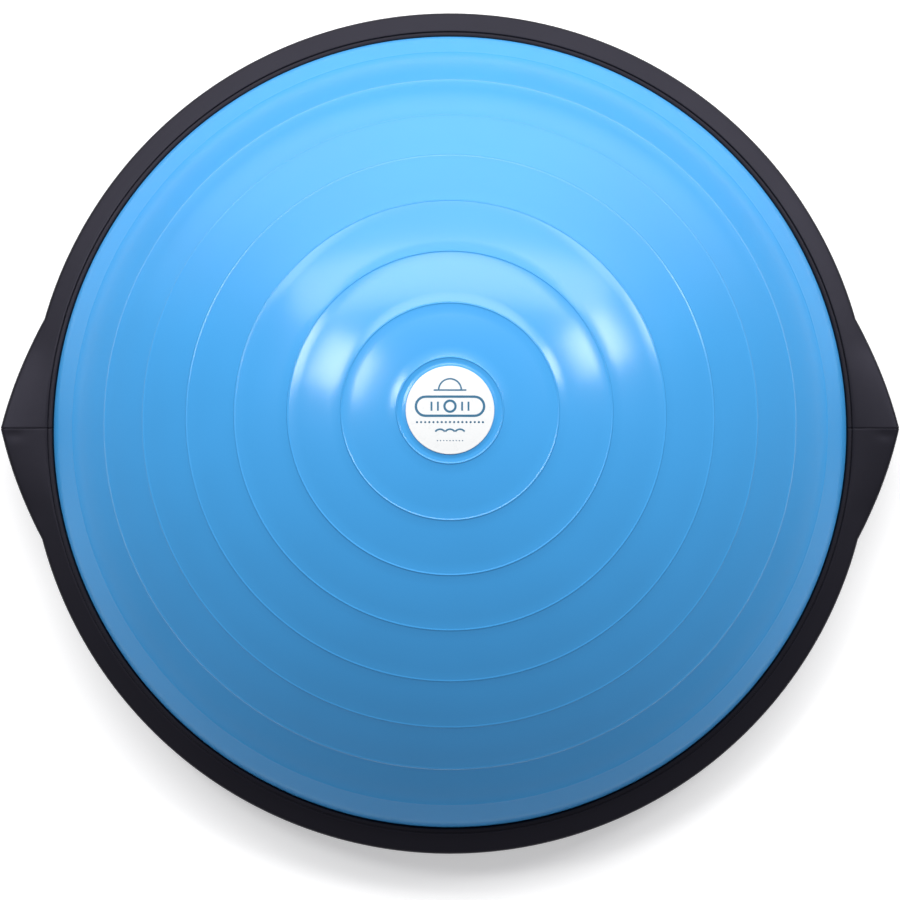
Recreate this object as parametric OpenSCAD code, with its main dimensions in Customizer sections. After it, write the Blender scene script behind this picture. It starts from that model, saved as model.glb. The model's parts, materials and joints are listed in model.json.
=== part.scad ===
// Balance dome trainer: an inflated dome clamped to a rigid round platform.
// Millimetres. +Z is up through the crown, the grip tabs point along +X and -X,
// and the origin is on the floor at the middle of the footprint.

/* [Overall] */
// Outer diameter of the bumper rim, without the grip tabs
rim_d = 650; // [646:1:656]
// How far the point of each grip tab reaches past the rim
tab_reach = 21; // [17:1:24]
// Height of the crown above the floor, inflated
overall_h = 215; // [214:1:220]

/* [Dome] */
// Radius of the crown's curve
crown_r = 375; // [370:1:385]
// Thickness of the dome's wall
dome_wall = 3; // [2.5:0.25:3.25]
// How far each ring line stands out of the dome
ring_proud = 0.7; // [0.4:0.1:1]
// Diameter of the badge on the crown
badge_d = 62.4; // [56:0.4:66]
// Thickness of the badge
badge_t = 0.9; // [0.6:0.1:1.4]

/* [Rim] */
// Thickness of the rim's outer wall and of each tab's skirt
rim_wall = 3; // [2.5:0.25:3.5]
// Height of the rim's top above the floor, at its inner lip
lip_z = 47.6; // [46.5:0.1:48.5]
// Angle between neighbouring rim screws
rim_screw_step = 30; // [30, 60]

/* [Platform] */
// Thickness of the platform's skin
skin_t = 4.5; // [4:0.25:5]
// Thickness of a stiffening rib
rib_t = 3; // [2.5:0.5:4]
// Number of radial ribs
rib_count = 16; // [8, 16]
// Number of clamp screws
clamp_screw_count = 24; // [12, 24]

/* [Feet] */
// Diameter of a foot
foot_d = 36; // [32:1:38]
// How far the platform stands off the floor
foot_proud = 6; // [5:0.5:6]

/* [Valve] */
// Distance of the valve from the middle of the platform
valve_r = 180; // [176:1:182]
// Diameter of the valve's air hole
valve_bore_d = 9; // [8:0.5:10]

/* [Hidden] */
$fn = 96;

// Room left between parts that move apart, and between parts that only lie together
part_gap = 0.3;
slip_gap = 0.1;
eps = 1;

rim_r = rim_d / 2;
tip_r = rim_r + tab_reach;

// Heights of the stack inside the rim
deck_z = 26;
deck_t = 4;
ledge_t = 5;
ledge_z = deck_z + ledge_t;
ledge_in_r = rim_r - 29;
seal_in_r = rim_r - 22.2;
seal_w = 3;
seal_t = 2;
clamp_top_z = 41;
clamp_gap = 0.4;

// Dome
dome_r = rim_r - 21;
crown_cz = overall_h - crown_r;
shoulder_start_r = dome_r - 18;
shoulder_a = acos(shoulder_start_r / crown_r);
shoulder_r = (dome_r - shoulder_start_r) / (1 - cos(shoulder_a));
shoulder_cz = crown_cz + (crown_r - shoulder_r) * sin(shoulder_a);
flange_z = ledge_z + part_gap;
bead_r = 3.2;
bead_cr = rim_r - 16;
ring_w = 2.6;
ring_half_a = ring_w / crown_r * 90 / PI;
// Radii of the eight ring lines, seen from above
ring_radii = [37.5, 77, 115.5, 154.5, 191, 225, 256.5, 285];

// Rim section
lip_r = rim_r - 19.8;
lip_w = 3.2;
groove_w = 1;
groove_depth = 1.2;
band_r = lip_r + lip_w + groove_w;
band_edge_z = lip_z - 2.7;
corner_r = 3.4;
rim_foot_z = 22.5;
rim_foot_r = 1.5;
band_t = 3.4;

// Grip tabs
tab_half_a = 15.2;
tab_steps = 8;
tab_skirt_z = 26;
tab_roof_z = 41;
ridge_fall = 0.6;
facet_fall = 0.06;
grip_pad_t = 2;
grip_rib_h = 0.8;
grip_rib_w = 1.4;
grip_rib_pitch = 8;

// Screws: the ring each set stands on, then its shank, length and head
rim_screw_r = rim_r - 6.6;
rim_screw_count = 360 / rim_screw_step;
rim_boss_r = 4;
rim_shank_r = 1.7;
rim_screw_l = 16;
rim_head_r = 2.7;
rim_head_h = 2;
clamp_screw_r = rim_r - 8;
clamp_shank_r = 2;
clamp_screw_l = 12.5;
clamp_head_r = 3.5;
foot_shank_r = 1.9;
foot_screw_l = 12.5;
foot_head_r = 4.2;
foot_head_h = 2.2;

// Platform
base_z = foot_proud;
deck_edge_r = rim_r - 4.2;
flange_edge_r = rim_r - rim_wall - part_gap;
flange_under_z = 22.5;
flat_r = rim_r - 63;
sweep_top_r = rim_r - 9.8;
sweep_rise = flange_under_z - base_z;
sweep_run = sweep_top_r - flat_r;
sweep_a = 2 * atan(sweep_rise / sweep_run);
sweep_r = sweep_run / sin(sweep_a);
edge_rib_r = rim_r - 24;
rib_start_r = 30;
ring_rib_radii = [90, 214];
tread_radii = [58, 122, 204];
tread_w = 3;
tread_depth = 1;

// Feet
foot_count = 8;
foot_ring_r = 238;
foot_pocket = 2;
foot_recess_r = 5.2;
foot_recess_h = 3.5;
foot_boss_r = 6;
foot_boss_top_z = 19;
foot_edge_r = 1.5;

// Valve
well_r = 28;
well_wall = 3;
well_chamfer = 2;
well_roof_z = 22;
valve_pos = [0, -valve_r, 0];
valve_bore_r = valve_bore_d / 2;
valve_tube_r = 8;
valve_flange_r = 14;
valve_flange_t = 2.5;
valve_top_z = 36.5;
washer_t = 1.2;
nut_r = 12.5;
nut_t = 4.6;
plug_flange_r = 11;
plug_flange_t = 2.8;
plug_nail_r = 8.5;
plug_nail_t = 1;
plug_stem_l = 14.2;
plug_tip_l = 2;
plug_rib_t = 1.6;
plug_rib_count = 3;
plug_rib_pitch = 4;
plug_rib_proud = 0.6;

// Points of an arc in the radius and height plane
function arc(cr, cz, r, a0, a1, n) =
    [for (i = [0:n]) let (a = a0 + (a1 - a0) * i / n) [cr + r * cos(a), cz + r * sin(a)]];

module at_ring(r, count, start = 0) {
    for (i = [0:count - 1])
        rotate([0, 0, start + i * 360 / count]) translate([r, 0, 0]) children();
}

// ---------------------------------------------------------------- dome

// Angle of a ring line above the plane of the crown's centre
function ring_a(i) = acos(ring_radii[i] / crown_r);

// Points of the crown from its top to the last ring line, each ring line a low round ridge
function crown_points() = [
    for (i = [0:len(ring_radii) - 1], k = [1:9])
        let (
            flat_from = i == 0 ? 90 : ring_a(i - 1) - ring_half_a,
            flat_to = ring_a(i) + ring_half_a,
            across = (k - 5) / 4,
            a = k < 5 ? flat_from + (flat_to - flat_from) * k / 5
                : ring_a(i) + ring_half_a * (1 - 2 * across),
            r = k < 5 ? crown_r : crown_r + ring_proud * sin(180 * across))
        [r * cos(a), crown_cz + r * sin(a)]];

// Points of the shoulder, where the crown turns down to the clamped foot, moved in by t
function shoulder_points(t) =
    arc(dome_r - shoulder_r, shoulder_cz, shoulder_r - t, shoulder_a, shoulder_a / 20, 10);

module dome_profile() {
    inside = concat(
        arc(0, crown_cz, crown_r - dome_wall, 90, shoulder_a + 1, 30),
        shoulder_points(dome_wall), [[dome_r - dome_wall, flange_z]]);
    flange_meets_bead_a = 180 + asin((bead_r - dome_wall) / bead_r);
    polygon(concat(
        [[0, overall_h]], crown_points(), shoulder_points(0),
        [[dome_r, flange_z + dome_wall]],
        arc(bead_cr, flange_z + bead_r, bead_r, flange_meets_bead_a, -90, 12),
        [for (i = [len(inside) - 1:-1:0]) inside[i]]));
}

module dome_shell() {
    color("#3f9fe0") rotate_extrude() dome_profile();
}

module dome_badge() {
    under_r = crown_r + part_gap / 6;
    color("white") intersection() {
        translate([0, 0, crown_cz]) difference() {
            sphere(r = under_r + badge_t);
            sphere(r = under_r);
        }
        translate([0, 0, overall_h / 2]) cylinder(h = overall_h, d = badge_d);
    }
}

// ---------------------------------------------------------------- rim

// The hollow under the rim's top band, which everything inside the rim stays in
module rim_inside_2d() {
    polygon([
        [0, -eps], [rim_r - rim_wall, -eps], [rim_r - rim_wall, band_edge_z - band_t],
        [band_r, lip_z - band_t], [lip_r + lip_w, lip_z - band_t], [lip_r + lip_w, clamp_top_z],
        [0, clamp_top_z]]);
}

module rim_section_2d() {
    outline = concat(
        [[rim_r - rim_wall, rim_foot_z]],
        arc(rim_r - rim_foot_r, rim_foot_z + rim_foot_r, rim_foot_r, -90, 0, 4),
        arc(rim_r - corner_r, band_edge_z - corner_r, corner_r, 0, 78, 6),
        [[band_r, lip_z], [band_r, lip_z - groove_depth], [band_r - groove_w, lip_z - groove_depth],
            [band_r - groove_w, lip_z]],
        arc(lip_r + 1, lip_z - 1, 1, 90, 180, 4),
        [[lip_r, clamp_top_z], [lip_r, rim_foot_z]]);
    difference() {
        polygon(outline);
        rim_inside_2d();
    }
}

// Outer edge of half a tab in plan, moved in by t: its reach grows evenly with the angle up to the point
function tab_edge(t) = [
    for (i = [0:tab_steps])
        let (a = tab_half_a * i / tab_steps, r = rim_r + tab_reach * (1 - i / tab_steps) - 1.03 * t)
            [r * cos(a), r * sin(a)]];

module half_tab_2d(t) {
    polygon(concat([[0, 0]], tab_edge(t)));
}

module tab_2d(t) {
    half_tab_2d(t);
    mirror([0, 1]) half_tab_2d(t);
}

// Everything above one half of the tab's roof: it falls towards the point and away from the ridge
module above_tab_roof() {
    tilt_across = -atan(facet_fall);
    tilt_out = atan(ridge_fall / (tip_r - band_r));
    translate([band_r, 0, lip_z]) rotate([tilt_across, tilt_out, 0])
        translate([-rim_r / 2, -rim_r / 2, 0]) cube([rim_r, rim_r, lip_z]);
}

// The half of the +X grip tab that belongs to the rear half of the rim
module half_tab() {
    difference() {
        translate([0, 0, tab_skirt_z]) linear_extrude(height = lip_z - tab_skirt_z + eps) difference() {
            half_tab_2d(0);
            circle(r = band_r, $fn = 360);
        }
        above_tab_roof();
        rotate_extrude() rim_inside_2d();
        translate([0, 0, tab_skirt_z - eps]) linear_extrude(height = tab_roof_z - tab_skirt_z + eps)
            difference() {
                half_tab_2d(rim_wall);
                circle(r = rim_r, $fn = 360);
            }
    }
}

// The angles of the rim screws on one half of the rim
module at_half_ring() {
    for (a = [rim_screw_step / 2:rim_screw_step:180])
        rotate([0, 0, a]) translate([rim_screw_r, 0, 0]) children();
}

module rim_boss() {
    translate([0, 0, deck_z + slip_gap])
        cylinder(h = band_edge_z - band_t / 2 - deck_z - slip_gap, r = rim_boss_r, $fn = 48);
}

// The rear half of the rim, from one tab's point round to the other's
module rim_half() {
    color("#26262b") difference() {
        union() {
            rotate_extrude(angle = 180) rim_section_2d();
            half_tab();
            mirror([1, 0, 0]) half_tab();
            at_half_ring() rim_boss();
        }
        at_half_ring() cylinder(h = clamp_top_z, r = rim_shank_r + slip_gap / 2, $fn = 32);
    }
}

module rim_rear() {
    rim_half();
}

module rim_front() {
    mirror([0, 1, 0]) rim_half();
}

module grip_pad() {
    margin = 1.2;
    reach = tip_r - rim_r - rim_wall - 2 * margin;
    color("#3a3a3f") union() {
        translate([0, 0, tab_roof_z - grip_pad_t]) linear_extrude(height = grip_pad_t) difference() {
            tab_2d(rim_wall + margin);
            circle(r = rim_r + margin, $fn = 360);
        }
        for (i = [-2:2])
            translate([rim_r + margin + 1, i * grip_rib_pitch - grip_rib_w / 2,
                tab_roof_z - grip_pad_t - grip_rib_h])
                cube([reach - 1 - abs(i) * grip_rib_pitch / 2.4, grip_rib_w, 2 * grip_rib_h]);
    }
}

module grip_pad_right() {
    grip_pad();
}

module grip_pad_left() {
    mirror([1, 0, 0]) grip_pad();
}

// ---------------------------------------------------------------- clamp, seal and deck

module rim_boss_notches() {
    at_ring(rim_screw_r, rim_screw_count, rim_screw_step / 2)
        translate([0, 0, deck_z - eps]) cylinder(h = clamp_top_z, r = rim_boss_r + clamp_gap, $fn = 48);
}

module clamp_ring_2d() {
    difference() {
        translate([lip_r + clamp_gap, ledge_z])
            square([deck_edge_r - lip_r - clamp_gap, clamp_top_z - ledge_z]);
        translate([bead_cr, flange_z + bead_r]) circle(r = bead_r + part_gap, $fn = 32);
        translate([0, ledge_z - eps]) square([bead_cr, flange_z + dome_wall + part_gap - ledge_z + eps]);
        translate([0, ledge_z - eps])
            square([bead_cr + bead_r + part_gap, flange_z + bead_r - ledge_z + eps]);
    }
}

module clamp_ring() {
    color("#d8d8d2") difference() {
        rotate_extrude() clamp_ring_2d();
        rim_boss_notches();
        at_ring(clamp_screw_r, clamp_screw_count, 180 / clamp_screw_count)
            translate([0, 0, ledge_z - eps]) cylinder(h = 9, r = clamp_shank_r + slip_gap / 2, $fn = 32);
    }
}

module bead_seal() {
    color("#1c1c1c") rotate_extrude() translate([seal_in_r, ledge_z - seal_t]) square([seal_w, seal_t]);
}

module deck_plate() {
    color("#55585c") difference() {
        rotate_extrude() difference() {
            union() {
                translate([0, deck_z]) square([deck_edge_r, deck_t]);
                translate([ledge_in_r, deck_z]) square([deck_edge_r - ledge_in_r, ledge_t]);
            }
            translate([seal_in_r - slip_gap, ledge_z - seal_t])
                square([seal_w + 2 * slip_gap, seal_t + eps]);
        }
        rim_boss_notches();
        at_ring(clamp_screw_r, clamp_screw_count, 180 / clamp_screw_count) {
            translate([0, 0, deck_z - eps])
                cylinder(h = ledge_t + 2 * eps, r = clamp_shank_r + slip_gap, $fn = 32);
            translate([0, 0, deck_z - slip_gap])
                cylinder(h = clamp_head_r - clamp_shank_r + slip_gap, r1 = clamp_head_r + 2 * slip_gap,
                    r2 = clamp_shank_r + slip_gap, $fn = 32);
        }
        translate(valve_pos) translate([0, 0, deck_z - eps])
            cylinder(h = deck_t + 2 * eps, r = valve_tube_r + 2 * slip_gap, $fn = 64);
    }
}

// ---------------------------------------------------------------- platform

// Underside of the platform: flat, then sweeping up to the flange under the rim, moved in by t
function platform_sweep(t) = arc(flat_r, base_z + sweep_r, sweep_r - t, -90, sweep_a - 90, 10);

module platform_envelope() {
    rotate_extrude() polygon(concat(
        [[0, base_z]], platform_sweep(0),
        [[flange_edge_r, flange_under_z], [flange_edge_r, deck_z], [0, deck_z]]));
}

module platform_hollow() {
    inner = platform_sweep(skin_t);
    top = inner[len(inner) - 1];
    rotate_extrude() polygon(concat(
        [[0, base_z + skin_t]], inner, [[top[0] + 1, deck_z + eps], [0, deck_z + eps]]));
}

module platform_ribs() {
    for (i = [0:rib_count - 1])
        rotate([0, 0, (i + 0.5) * 360 / rib_count])
            translate([rib_start_r, -rib_t / 2, base_z]) cube([edge_rib_r - rib_start_r, rib_t, deck_z]);
    for (r = concat(ring_rib_radii, [edge_rib_r]))
        rotate_extrude() translate([r - rib_t / 2, base_z]) square([rib_t, deck_z]);
}

module foot_bosses() {
    at_ring(foot_ring_r, foot_count)
        translate([0, 0, base_z]) cylinder(h = foot_boss_top_z - base_z, r = foot_boss_r, $fn = 48);
}

module valve_well(r, top_z) {
    translate(valve_pos) cylinder(h = top_z, r = r, $fn = 96);
}

module platform_shell() {
    color("#2b2b30") difference() {
        platform_envelope();
        difference() {
            platform_hollow();
            platform_ribs();
            foot_bosses();
            valve_well(well_r + well_wall, deck_z + eps);
        }
        valve_well(well_r, well_roof_z);
        translate(valve_pos) translate([0, 0, base_z - eps])
            cylinder(h = well_chamfer + eps, r1 = well_r + well_chamfer + eps, r2 = well_r, $fn = 96);
        translate(valve_pos) cylinder(h = deck_z + eps, r = valve_tube_r + 2 * slip_gap, $fn = 64);
        at_ring(foot_ring_r, foot_count) {
            cylinder(h = base_z + foot_pocket, d = foot_d + 4 * slip_gap, $fn = 64);
            cylinder(h = foot_boss_top_z - 1.5, r = foot_shank_r + slip_gap, $fn = 32);
        }
        at_ring(rim_screw_r, rim_screw_count, rim_screw_step / 2)
            translate([0, 0, base_z]) cylinder(h = deck_z, r = rim_shank_r + 2 * slip_gap, $fn = 32);
        for (r = tread_radii)
            rotate_extrude() translate([r, base_z - eps]) square([tread_w, tread_depth + eps]);
    }
}

// ---------------------------------------------------------------- feet

module foot() {
    top_z = base_z + foot_pocket;
    color("#1a1a1c") rotate_extrude($fn = 64) difference() {
        polygon(concat(
            [[0, 0]], arc(foot_d / 2 - foot_edge_r, foot_edge_r, foot_edge_r, -90, 0, 4),
            [[foot_d / 2, top_z], [0, top_z]]));
        translate([-eps, -eps]) square([foot_recess_r + eps, foot_recess_h + eps]);
        translate([-eps, -eps]) square([foot_shank_r + slip_gap + eps, top_z + 2 * eps]);
    }
}

module foot_at(i) {
    rotate([0, 0, (i - 1) * 360 / foot_count]) translate([foot_ring_r, 0, 0]) foot();
}

module foot_1() { foot_at(1); }
module foot_2() { foot_at(2); }
module foot_3() { foot_at(3); }
module foot_4() { foot_at(4); }
module foot_5() { foot_at(5); }
module foot_6() { foot_at(6); }
module foot_7() { foot_at(7); }
module foot_8() { foot_at(8); }

// ---------------------------------------------------------------- screws

// Pan-head screw pointing up, with the underside of its head at z = 0
module pan_screw(shank_r, shank_l, head_r, head_h) {
    slot_w = head_r / 3.5;
    difference() {
        union() {
            cylinder(h = shank_l, r = shank_r, $fn = 32);
            translate([0, 0, -head_h / 2]) cylinder(h = head_h / 2, r = head_r, $fn = 32);
            translate([0, 0, -head_h]) cylinder(h = head_h / 2, r1 = head_r * 0.78, r2 = head_r, $fn = 32);
        }
        for (a = [0, 90])
            rotate([0, 0, a]) translate([-head_r / 2, -slot_w / 2, -head_h - eps])
                cube([head_r, slot_w, head_h / 2 + eps]);
    }
}

module foot_screws() {
    color("silver") at_ring(foot_ring_r, foot_count)
        translate([0, 0, foot_recess_h]) pan_screw(foot_shank_r, foot_screw_l, foot_head_r, foot_head_h);
}

module rim_screws() {
    color("silver") at_ring(rim_screw_r, rim_screw_count, rim_screw_step / 2)
        translate([0, 0, flange_under_z]) pan_screw(rim_shank_r, rim_screw_l, rim_head_r, rim_head_h);
}

module clamp_screws() {
    color("silver") at_ring(clamp_screw_r, clamp_screw_count, 180 / clamp_screw_count)
        translate([0, 0, deck_z + slip_gap]) {
            cylinder(h = clamp_screw_l, r = clamp_shank_r, $fn = 32);
            cylinder(h = clamp_head_r - clamp_shank_r, r1 = clamp_head_r, r2 = clamp_shank_r, $fn = 32);
        }
}

// ---------------------------------------------------------------- valve

module valve_body() {
    color("#c9ccd0") translate(valve_pos) difference() {
        union() {
            translate([0, 0, well_roof_z - valve_flange_t])
                cylinder(h = valve_flange_t, r = valve_flange_r, $fn = 64);
            translate([0, 0, well_roof_z - valve_flange_t])
                cylinder(h = valve_top_z - well_roof_z + valve_flange_t, r = valve_tube_r, $fn = 64);
        }
        cylinder(h = valve_top_z + eps, r = valve_bore_r, $fn = 64);
    }
}

module valve_washer() {
    color("#1c1c1c") translate(valve_pos) translate([0, 0, deck_z + deck_t]) difference() {
        cylinder(h = washer_t, r = valve_flange_r, $fn = 64);
        translate([0, 0, -eps]) cylinder(h = washer_t + 2 * eps, r = valve_tube_r + slip_gap, $fn = 64);
    }
}

module valve_nut() {
    color("#c9ccd0") translate(valve_pos) translate([0, 0, deck_z + deck_t + washer_t]) difference() {
        cylinder(h = nut_t, r = nut_r, $fn = 6);
        translate([0, 0, -eps]) cylinder(h = nut_t + 2 * eps, r = valve_tube_r + slip_gap / 2, $fn = 64);
    }
}

module valve_plug() {
    seat_z = well_roof_z - valve_flange_t - slip_gap;
    stem_r = valve_bore_r - slip_gap;
    neck_r = stem_r - plug_rib_proud;
    color("#e8e8e4") translate(valve_pos) translate([0, 0, seat_z]) union() {
        translate([0, 0, -plug_flange_t])
            cylinder(h = plug_flange_t - plug_nail_t, r = plug_flange_r, $fn = 64);
        translate([0, 0, -plug_nail_t]) cylinder(h = plug_nail_t, r = plug_nail_r, $fn = 64);
        cylinder(h = plug_stem_l - plug_tip_l, r = neck_r, $fn = 48);
        for (i = [0:plug_rib_count - 1])
            translate([0, 0, 1 + i * plug_rib_pitch]) cylinder(h = plug_rib_t, r = stem_r, $fn = 48);
        translate([0, 0, plug_stem_l - plug_tip_l])
            cylinder(h = plug_tip_l, r1 = neck_r, r2 = neck_r - 1, $fn = 48);
    }
}

dome_shell();
dome_badge();
rim_rear();
rim_front();
clamp_ring();
bead_seal();
deck_plate();
platform_shell();
grip_pad_left();
grip_pad_right();
foot_1();
foot_2();
foot_3();
foot_4();
foot_5();
foot_6();
foot_7();
foot_8();
foot_screws();
clamp_screws();
rim_screws();
valve_body();
valve_washer();
valve_nut();
valve_plug();
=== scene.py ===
"""The balance dome trainer's finished pieces and materials, with its floor, lights and camera.

Lengths are in metres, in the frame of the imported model: +Z is up through the crown, +X and -X point
out through the grip tabs, and the floor is at z = 0. A value written as 3 * MM is three millimetres.
"""

import json
import logging
import math
from dataclasses import dataclass, field
from enum import Enum
from typing import Iterable, Sequence

import bmesh
import bpy
import numpy as np
from mathutils import Matrix, Vector


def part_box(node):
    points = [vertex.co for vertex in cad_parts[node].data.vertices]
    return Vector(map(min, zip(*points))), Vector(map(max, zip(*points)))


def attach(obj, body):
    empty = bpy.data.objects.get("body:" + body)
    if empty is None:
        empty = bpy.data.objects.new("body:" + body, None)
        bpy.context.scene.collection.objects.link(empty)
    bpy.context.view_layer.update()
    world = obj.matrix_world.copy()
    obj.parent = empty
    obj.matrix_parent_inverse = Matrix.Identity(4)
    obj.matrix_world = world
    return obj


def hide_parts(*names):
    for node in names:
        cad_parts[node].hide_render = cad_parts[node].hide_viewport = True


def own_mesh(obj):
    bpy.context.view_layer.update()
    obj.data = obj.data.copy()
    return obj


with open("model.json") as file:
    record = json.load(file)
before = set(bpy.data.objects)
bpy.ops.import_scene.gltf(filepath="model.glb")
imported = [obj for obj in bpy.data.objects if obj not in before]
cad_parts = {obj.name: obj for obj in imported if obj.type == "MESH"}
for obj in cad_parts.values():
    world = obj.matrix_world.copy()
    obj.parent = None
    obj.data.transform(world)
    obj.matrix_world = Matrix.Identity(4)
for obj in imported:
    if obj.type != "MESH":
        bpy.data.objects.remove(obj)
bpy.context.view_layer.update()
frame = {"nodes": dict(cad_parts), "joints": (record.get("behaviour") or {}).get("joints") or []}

MM = 0.001
LOG = logging.getLogger("balance_dome_trainer")

Point = tuple[float, float]
Outline = list[Point]
Colour = tuple[float, float, float, float]
Place = tuple[float, float, float]


class Body(Enum):
    """The bodies that pieces ride on."""

    PLATFORM = "platform"
    DOME = "dome"
    PLUG = "plug"


class Slot(Enum):
    """The record's material slots."""

    DOME = "dome_pvc"
    BADGE = "badge_enamel"
    RIM = "rim_plastic"
    CLAMP = "clamp_nylon"
    SEAL = "seal_rubber"
    DECK = "deck_plastic"
    PLATFORM = "platform_plastic"
    GRIP = "grip_rubber"
    FOOT = "foot_rubber"
    SCREW = "screw_steel"
    VALVE = "valve_plastic"
    PLUG = "plug_rubber"


class Half(Enum):
    """The two halves of the rim, by the side of the joint line they lie on."""

    REAR = 1
    FRONT = -1


# ---------- nodes and sums of nodes


class Wire:
    """One output of a node, with arithmetic that adds Math nodes to the same tree."""

    def __init__(self, graph: "Graph", socket: bpy.types.NodeSocket) -> None:
        """Holds a socket and the graph that it belongs to."""
        self.graph = graph
        self.socket = socket

    def _math(self, operation: str, *values: "float | Wire") -> "Wire":
        """Adds a Math node that works on the given values in their order."""
        return self.graph.add("ShaderNodeMath", {"operation": operation}, dict(enumerate(values)))

    def __add__(self, other: "float | Wire") -> "Wire":
        """Adds two values."""
        return self._math("ADD", self, other)

    __radd__ = __add__

    def __sub__(self, other: "float | Wire") -> "Wire":
        """Takes a value from this one."""
        return self._math("SUBTRACT", self, other)

    def __rsub__(self, other: "float | Wire") -> "Wire":
        """Takes this one from a value."""
        return self._math("SUBTRACT", other, self)

    def __mul__(self, other: "float | Wire") -> "Wire":
        """Multiplies two values."""
        return self._math("MULTIPLY", self, other)

    __rmul__ = __mul__

    def __pow__(self, other: "float | Wire") -> "Wire":
        """Raises this value to a power."""
        return self._math("POWER", self, other)

    def root(self) -> "Wire":
        """Takes the square root of this value."""
        return self._math("SQRT", self)


Value = float | int | Sequence[float] | Wire | bpy.types.ID


class Graph:
    """Adds nodes to a shader tree or a Geometry Nodes tree."""

    def __init__(self, tree: bpy.types.NodeTree) -> None:
        """Holds the tree."""
        self.tree = tree

    def add(self, kind: str, settings: dict | None = None, values: dict[str | int, Value] | None = None,
            output: str | int = 0) -> Wire:
        """Adds one node.

        Args:
            kind: The node's type.
            settings: The node's own settings, made before its sockets are filled.
            values: What goes into the node's sockets, by their names or numbers.
            output: The name or number of the output to return.

        Returns:
            The chosen output.
        """
        node = self.tree.nodes.new(kind)
        for name, value in (settings or {}).items():
            setattr(node, name, value)
        for key, value in (values or {}).items():
            if isinstance(value, Wire):
                self.tree.links.new(value.socket, node.inputs[key])
            else:
                node.inputs[key].default_value = value
        return Wire(self, node.outputs[output]) if node.outputs else Wire(self, node.inputs[0])

    def parts(self, vector: Wire) -> tuple[Wire, ...]:
        """Returns a vector's X, Y and Z."""
        split = self.add("ShaderNodeSeparateXYZ", values={"Vector": vector})
        return tuple(Wire(self, socket) for socket in split.socket.node.outputs)


class ShaderGraph(Graph):
    """A material's graph, with the patterns that several finishes share."""

    def place(self) -> Wire:
        """Returns the point on the object, in metres."""
        return self.add("ShaderNodeTexCoord", output="Object")

    def noise(self, size: float, detail: float = 3.0, roughness: float = 0.55) -> Wire:
        """Returns a cloudy pattern from 0 to 1.

        Args:
            size: How far apart its clouds are.
            detail: How many finer layers lie over them.
            roughness: How strong the finer layers are.
        """
        return self.add("ShaderNodeTexNoise", values={
            "Vector": self.place(), "Scale": 1 / size, "Detail": detail, "Roughness": roughness})

    def cells(self, size: float) -> Wire:
        """Returns the distance to the nearest of scattered points, for pebbled grain."""
        return self.add("ShaderNodeTexVoronoi", values={"Vector": self.place(), "Scale": 1 / size})

    def between(self, value: Wire, low: float, high: float, start: float = 0.0, end: float = 1.0) -> Wire:
        """Returns a soft step from start to end as the value goes from low to high."""
        return self.add("ShaderNodeMapRange", {"interpolation_type": "SMOOTHSTEP"}, {
            "Value": value, "From Min": low, "From Max": high, "To Min": start, "To Max": end})

    def mix(self, share: Wire, first: Colour | Wire, second: Colour | Wire) -> Wire:
        """Returns a colour that goes from the first to the second as the share goes from 0 to 1."""
        return self.add("ShaderNodeMix", {"data_type": "RGBA"}, {0: share, 6: first, 7: second}, output=2)

    def bump(self, height: Wire, depth: float, under: Wire | None = None) -> Wire:
        """Returns a normal for a surface that rises by depth where the height is 1."""
        values = {"Height": height, "Distance": depth, "Strength": 1.0}
        if under is not None:
            values["Normal"] = under
        return self.add("ShaderNodeBump", values=values)


# ---------- finishes


def fresh_graph(owner: bpy.types.Material | bpy.types.World) -> ShaderGraph:
    """Returns a material's or a world's graph, switched on and empty."""
    owner.use_nodes = True
    owner.node_tree.nodes.clear()
    return ShaderGraph(owner.node_tree)


def tint(colour: Colour, factor: float) -> Colour:
    """Returns a colour made lighter or darker by a factor."""
    return (*(min(1.0, part * factor) for part in colour[:3]), 1.0)


@dataclass(frozen=True)
class Finish:
    """A material's look.

    Attributes:
        name: The material's name.
        slot: The record's slot that it belongs to.
        colour: Its colour.
        roughness: How matt it is, from 0 to 1.
    """

    name: str
    slot: Slot
    colour: Colour
    roughness: float

    def material(self) -> bpy.types.Material:
        """Returns the material, made on the first call and found again on later ones."""
        known = bpy.data.materials.get(self.name)
        if known is not None:
            return known
        made = bpy.data.materials.new(self.name)
        graph = fresh_graph(made)
        shader = graph.add("ShaderNodeBsdfPrincipled", values=self.surface(graph))
        graph.add("ShaderNodeOutputMaterial", values={"Surface": shader})
        made.diffuse_color = self.colour
        return made

    def surface(self, graph: ShaderGraph) -> dict[str, Value]:
        """Returns what goes into the shader's sockets."""
        return {"Base Color": self.colour, "Roughness": self.roughness}


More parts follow.
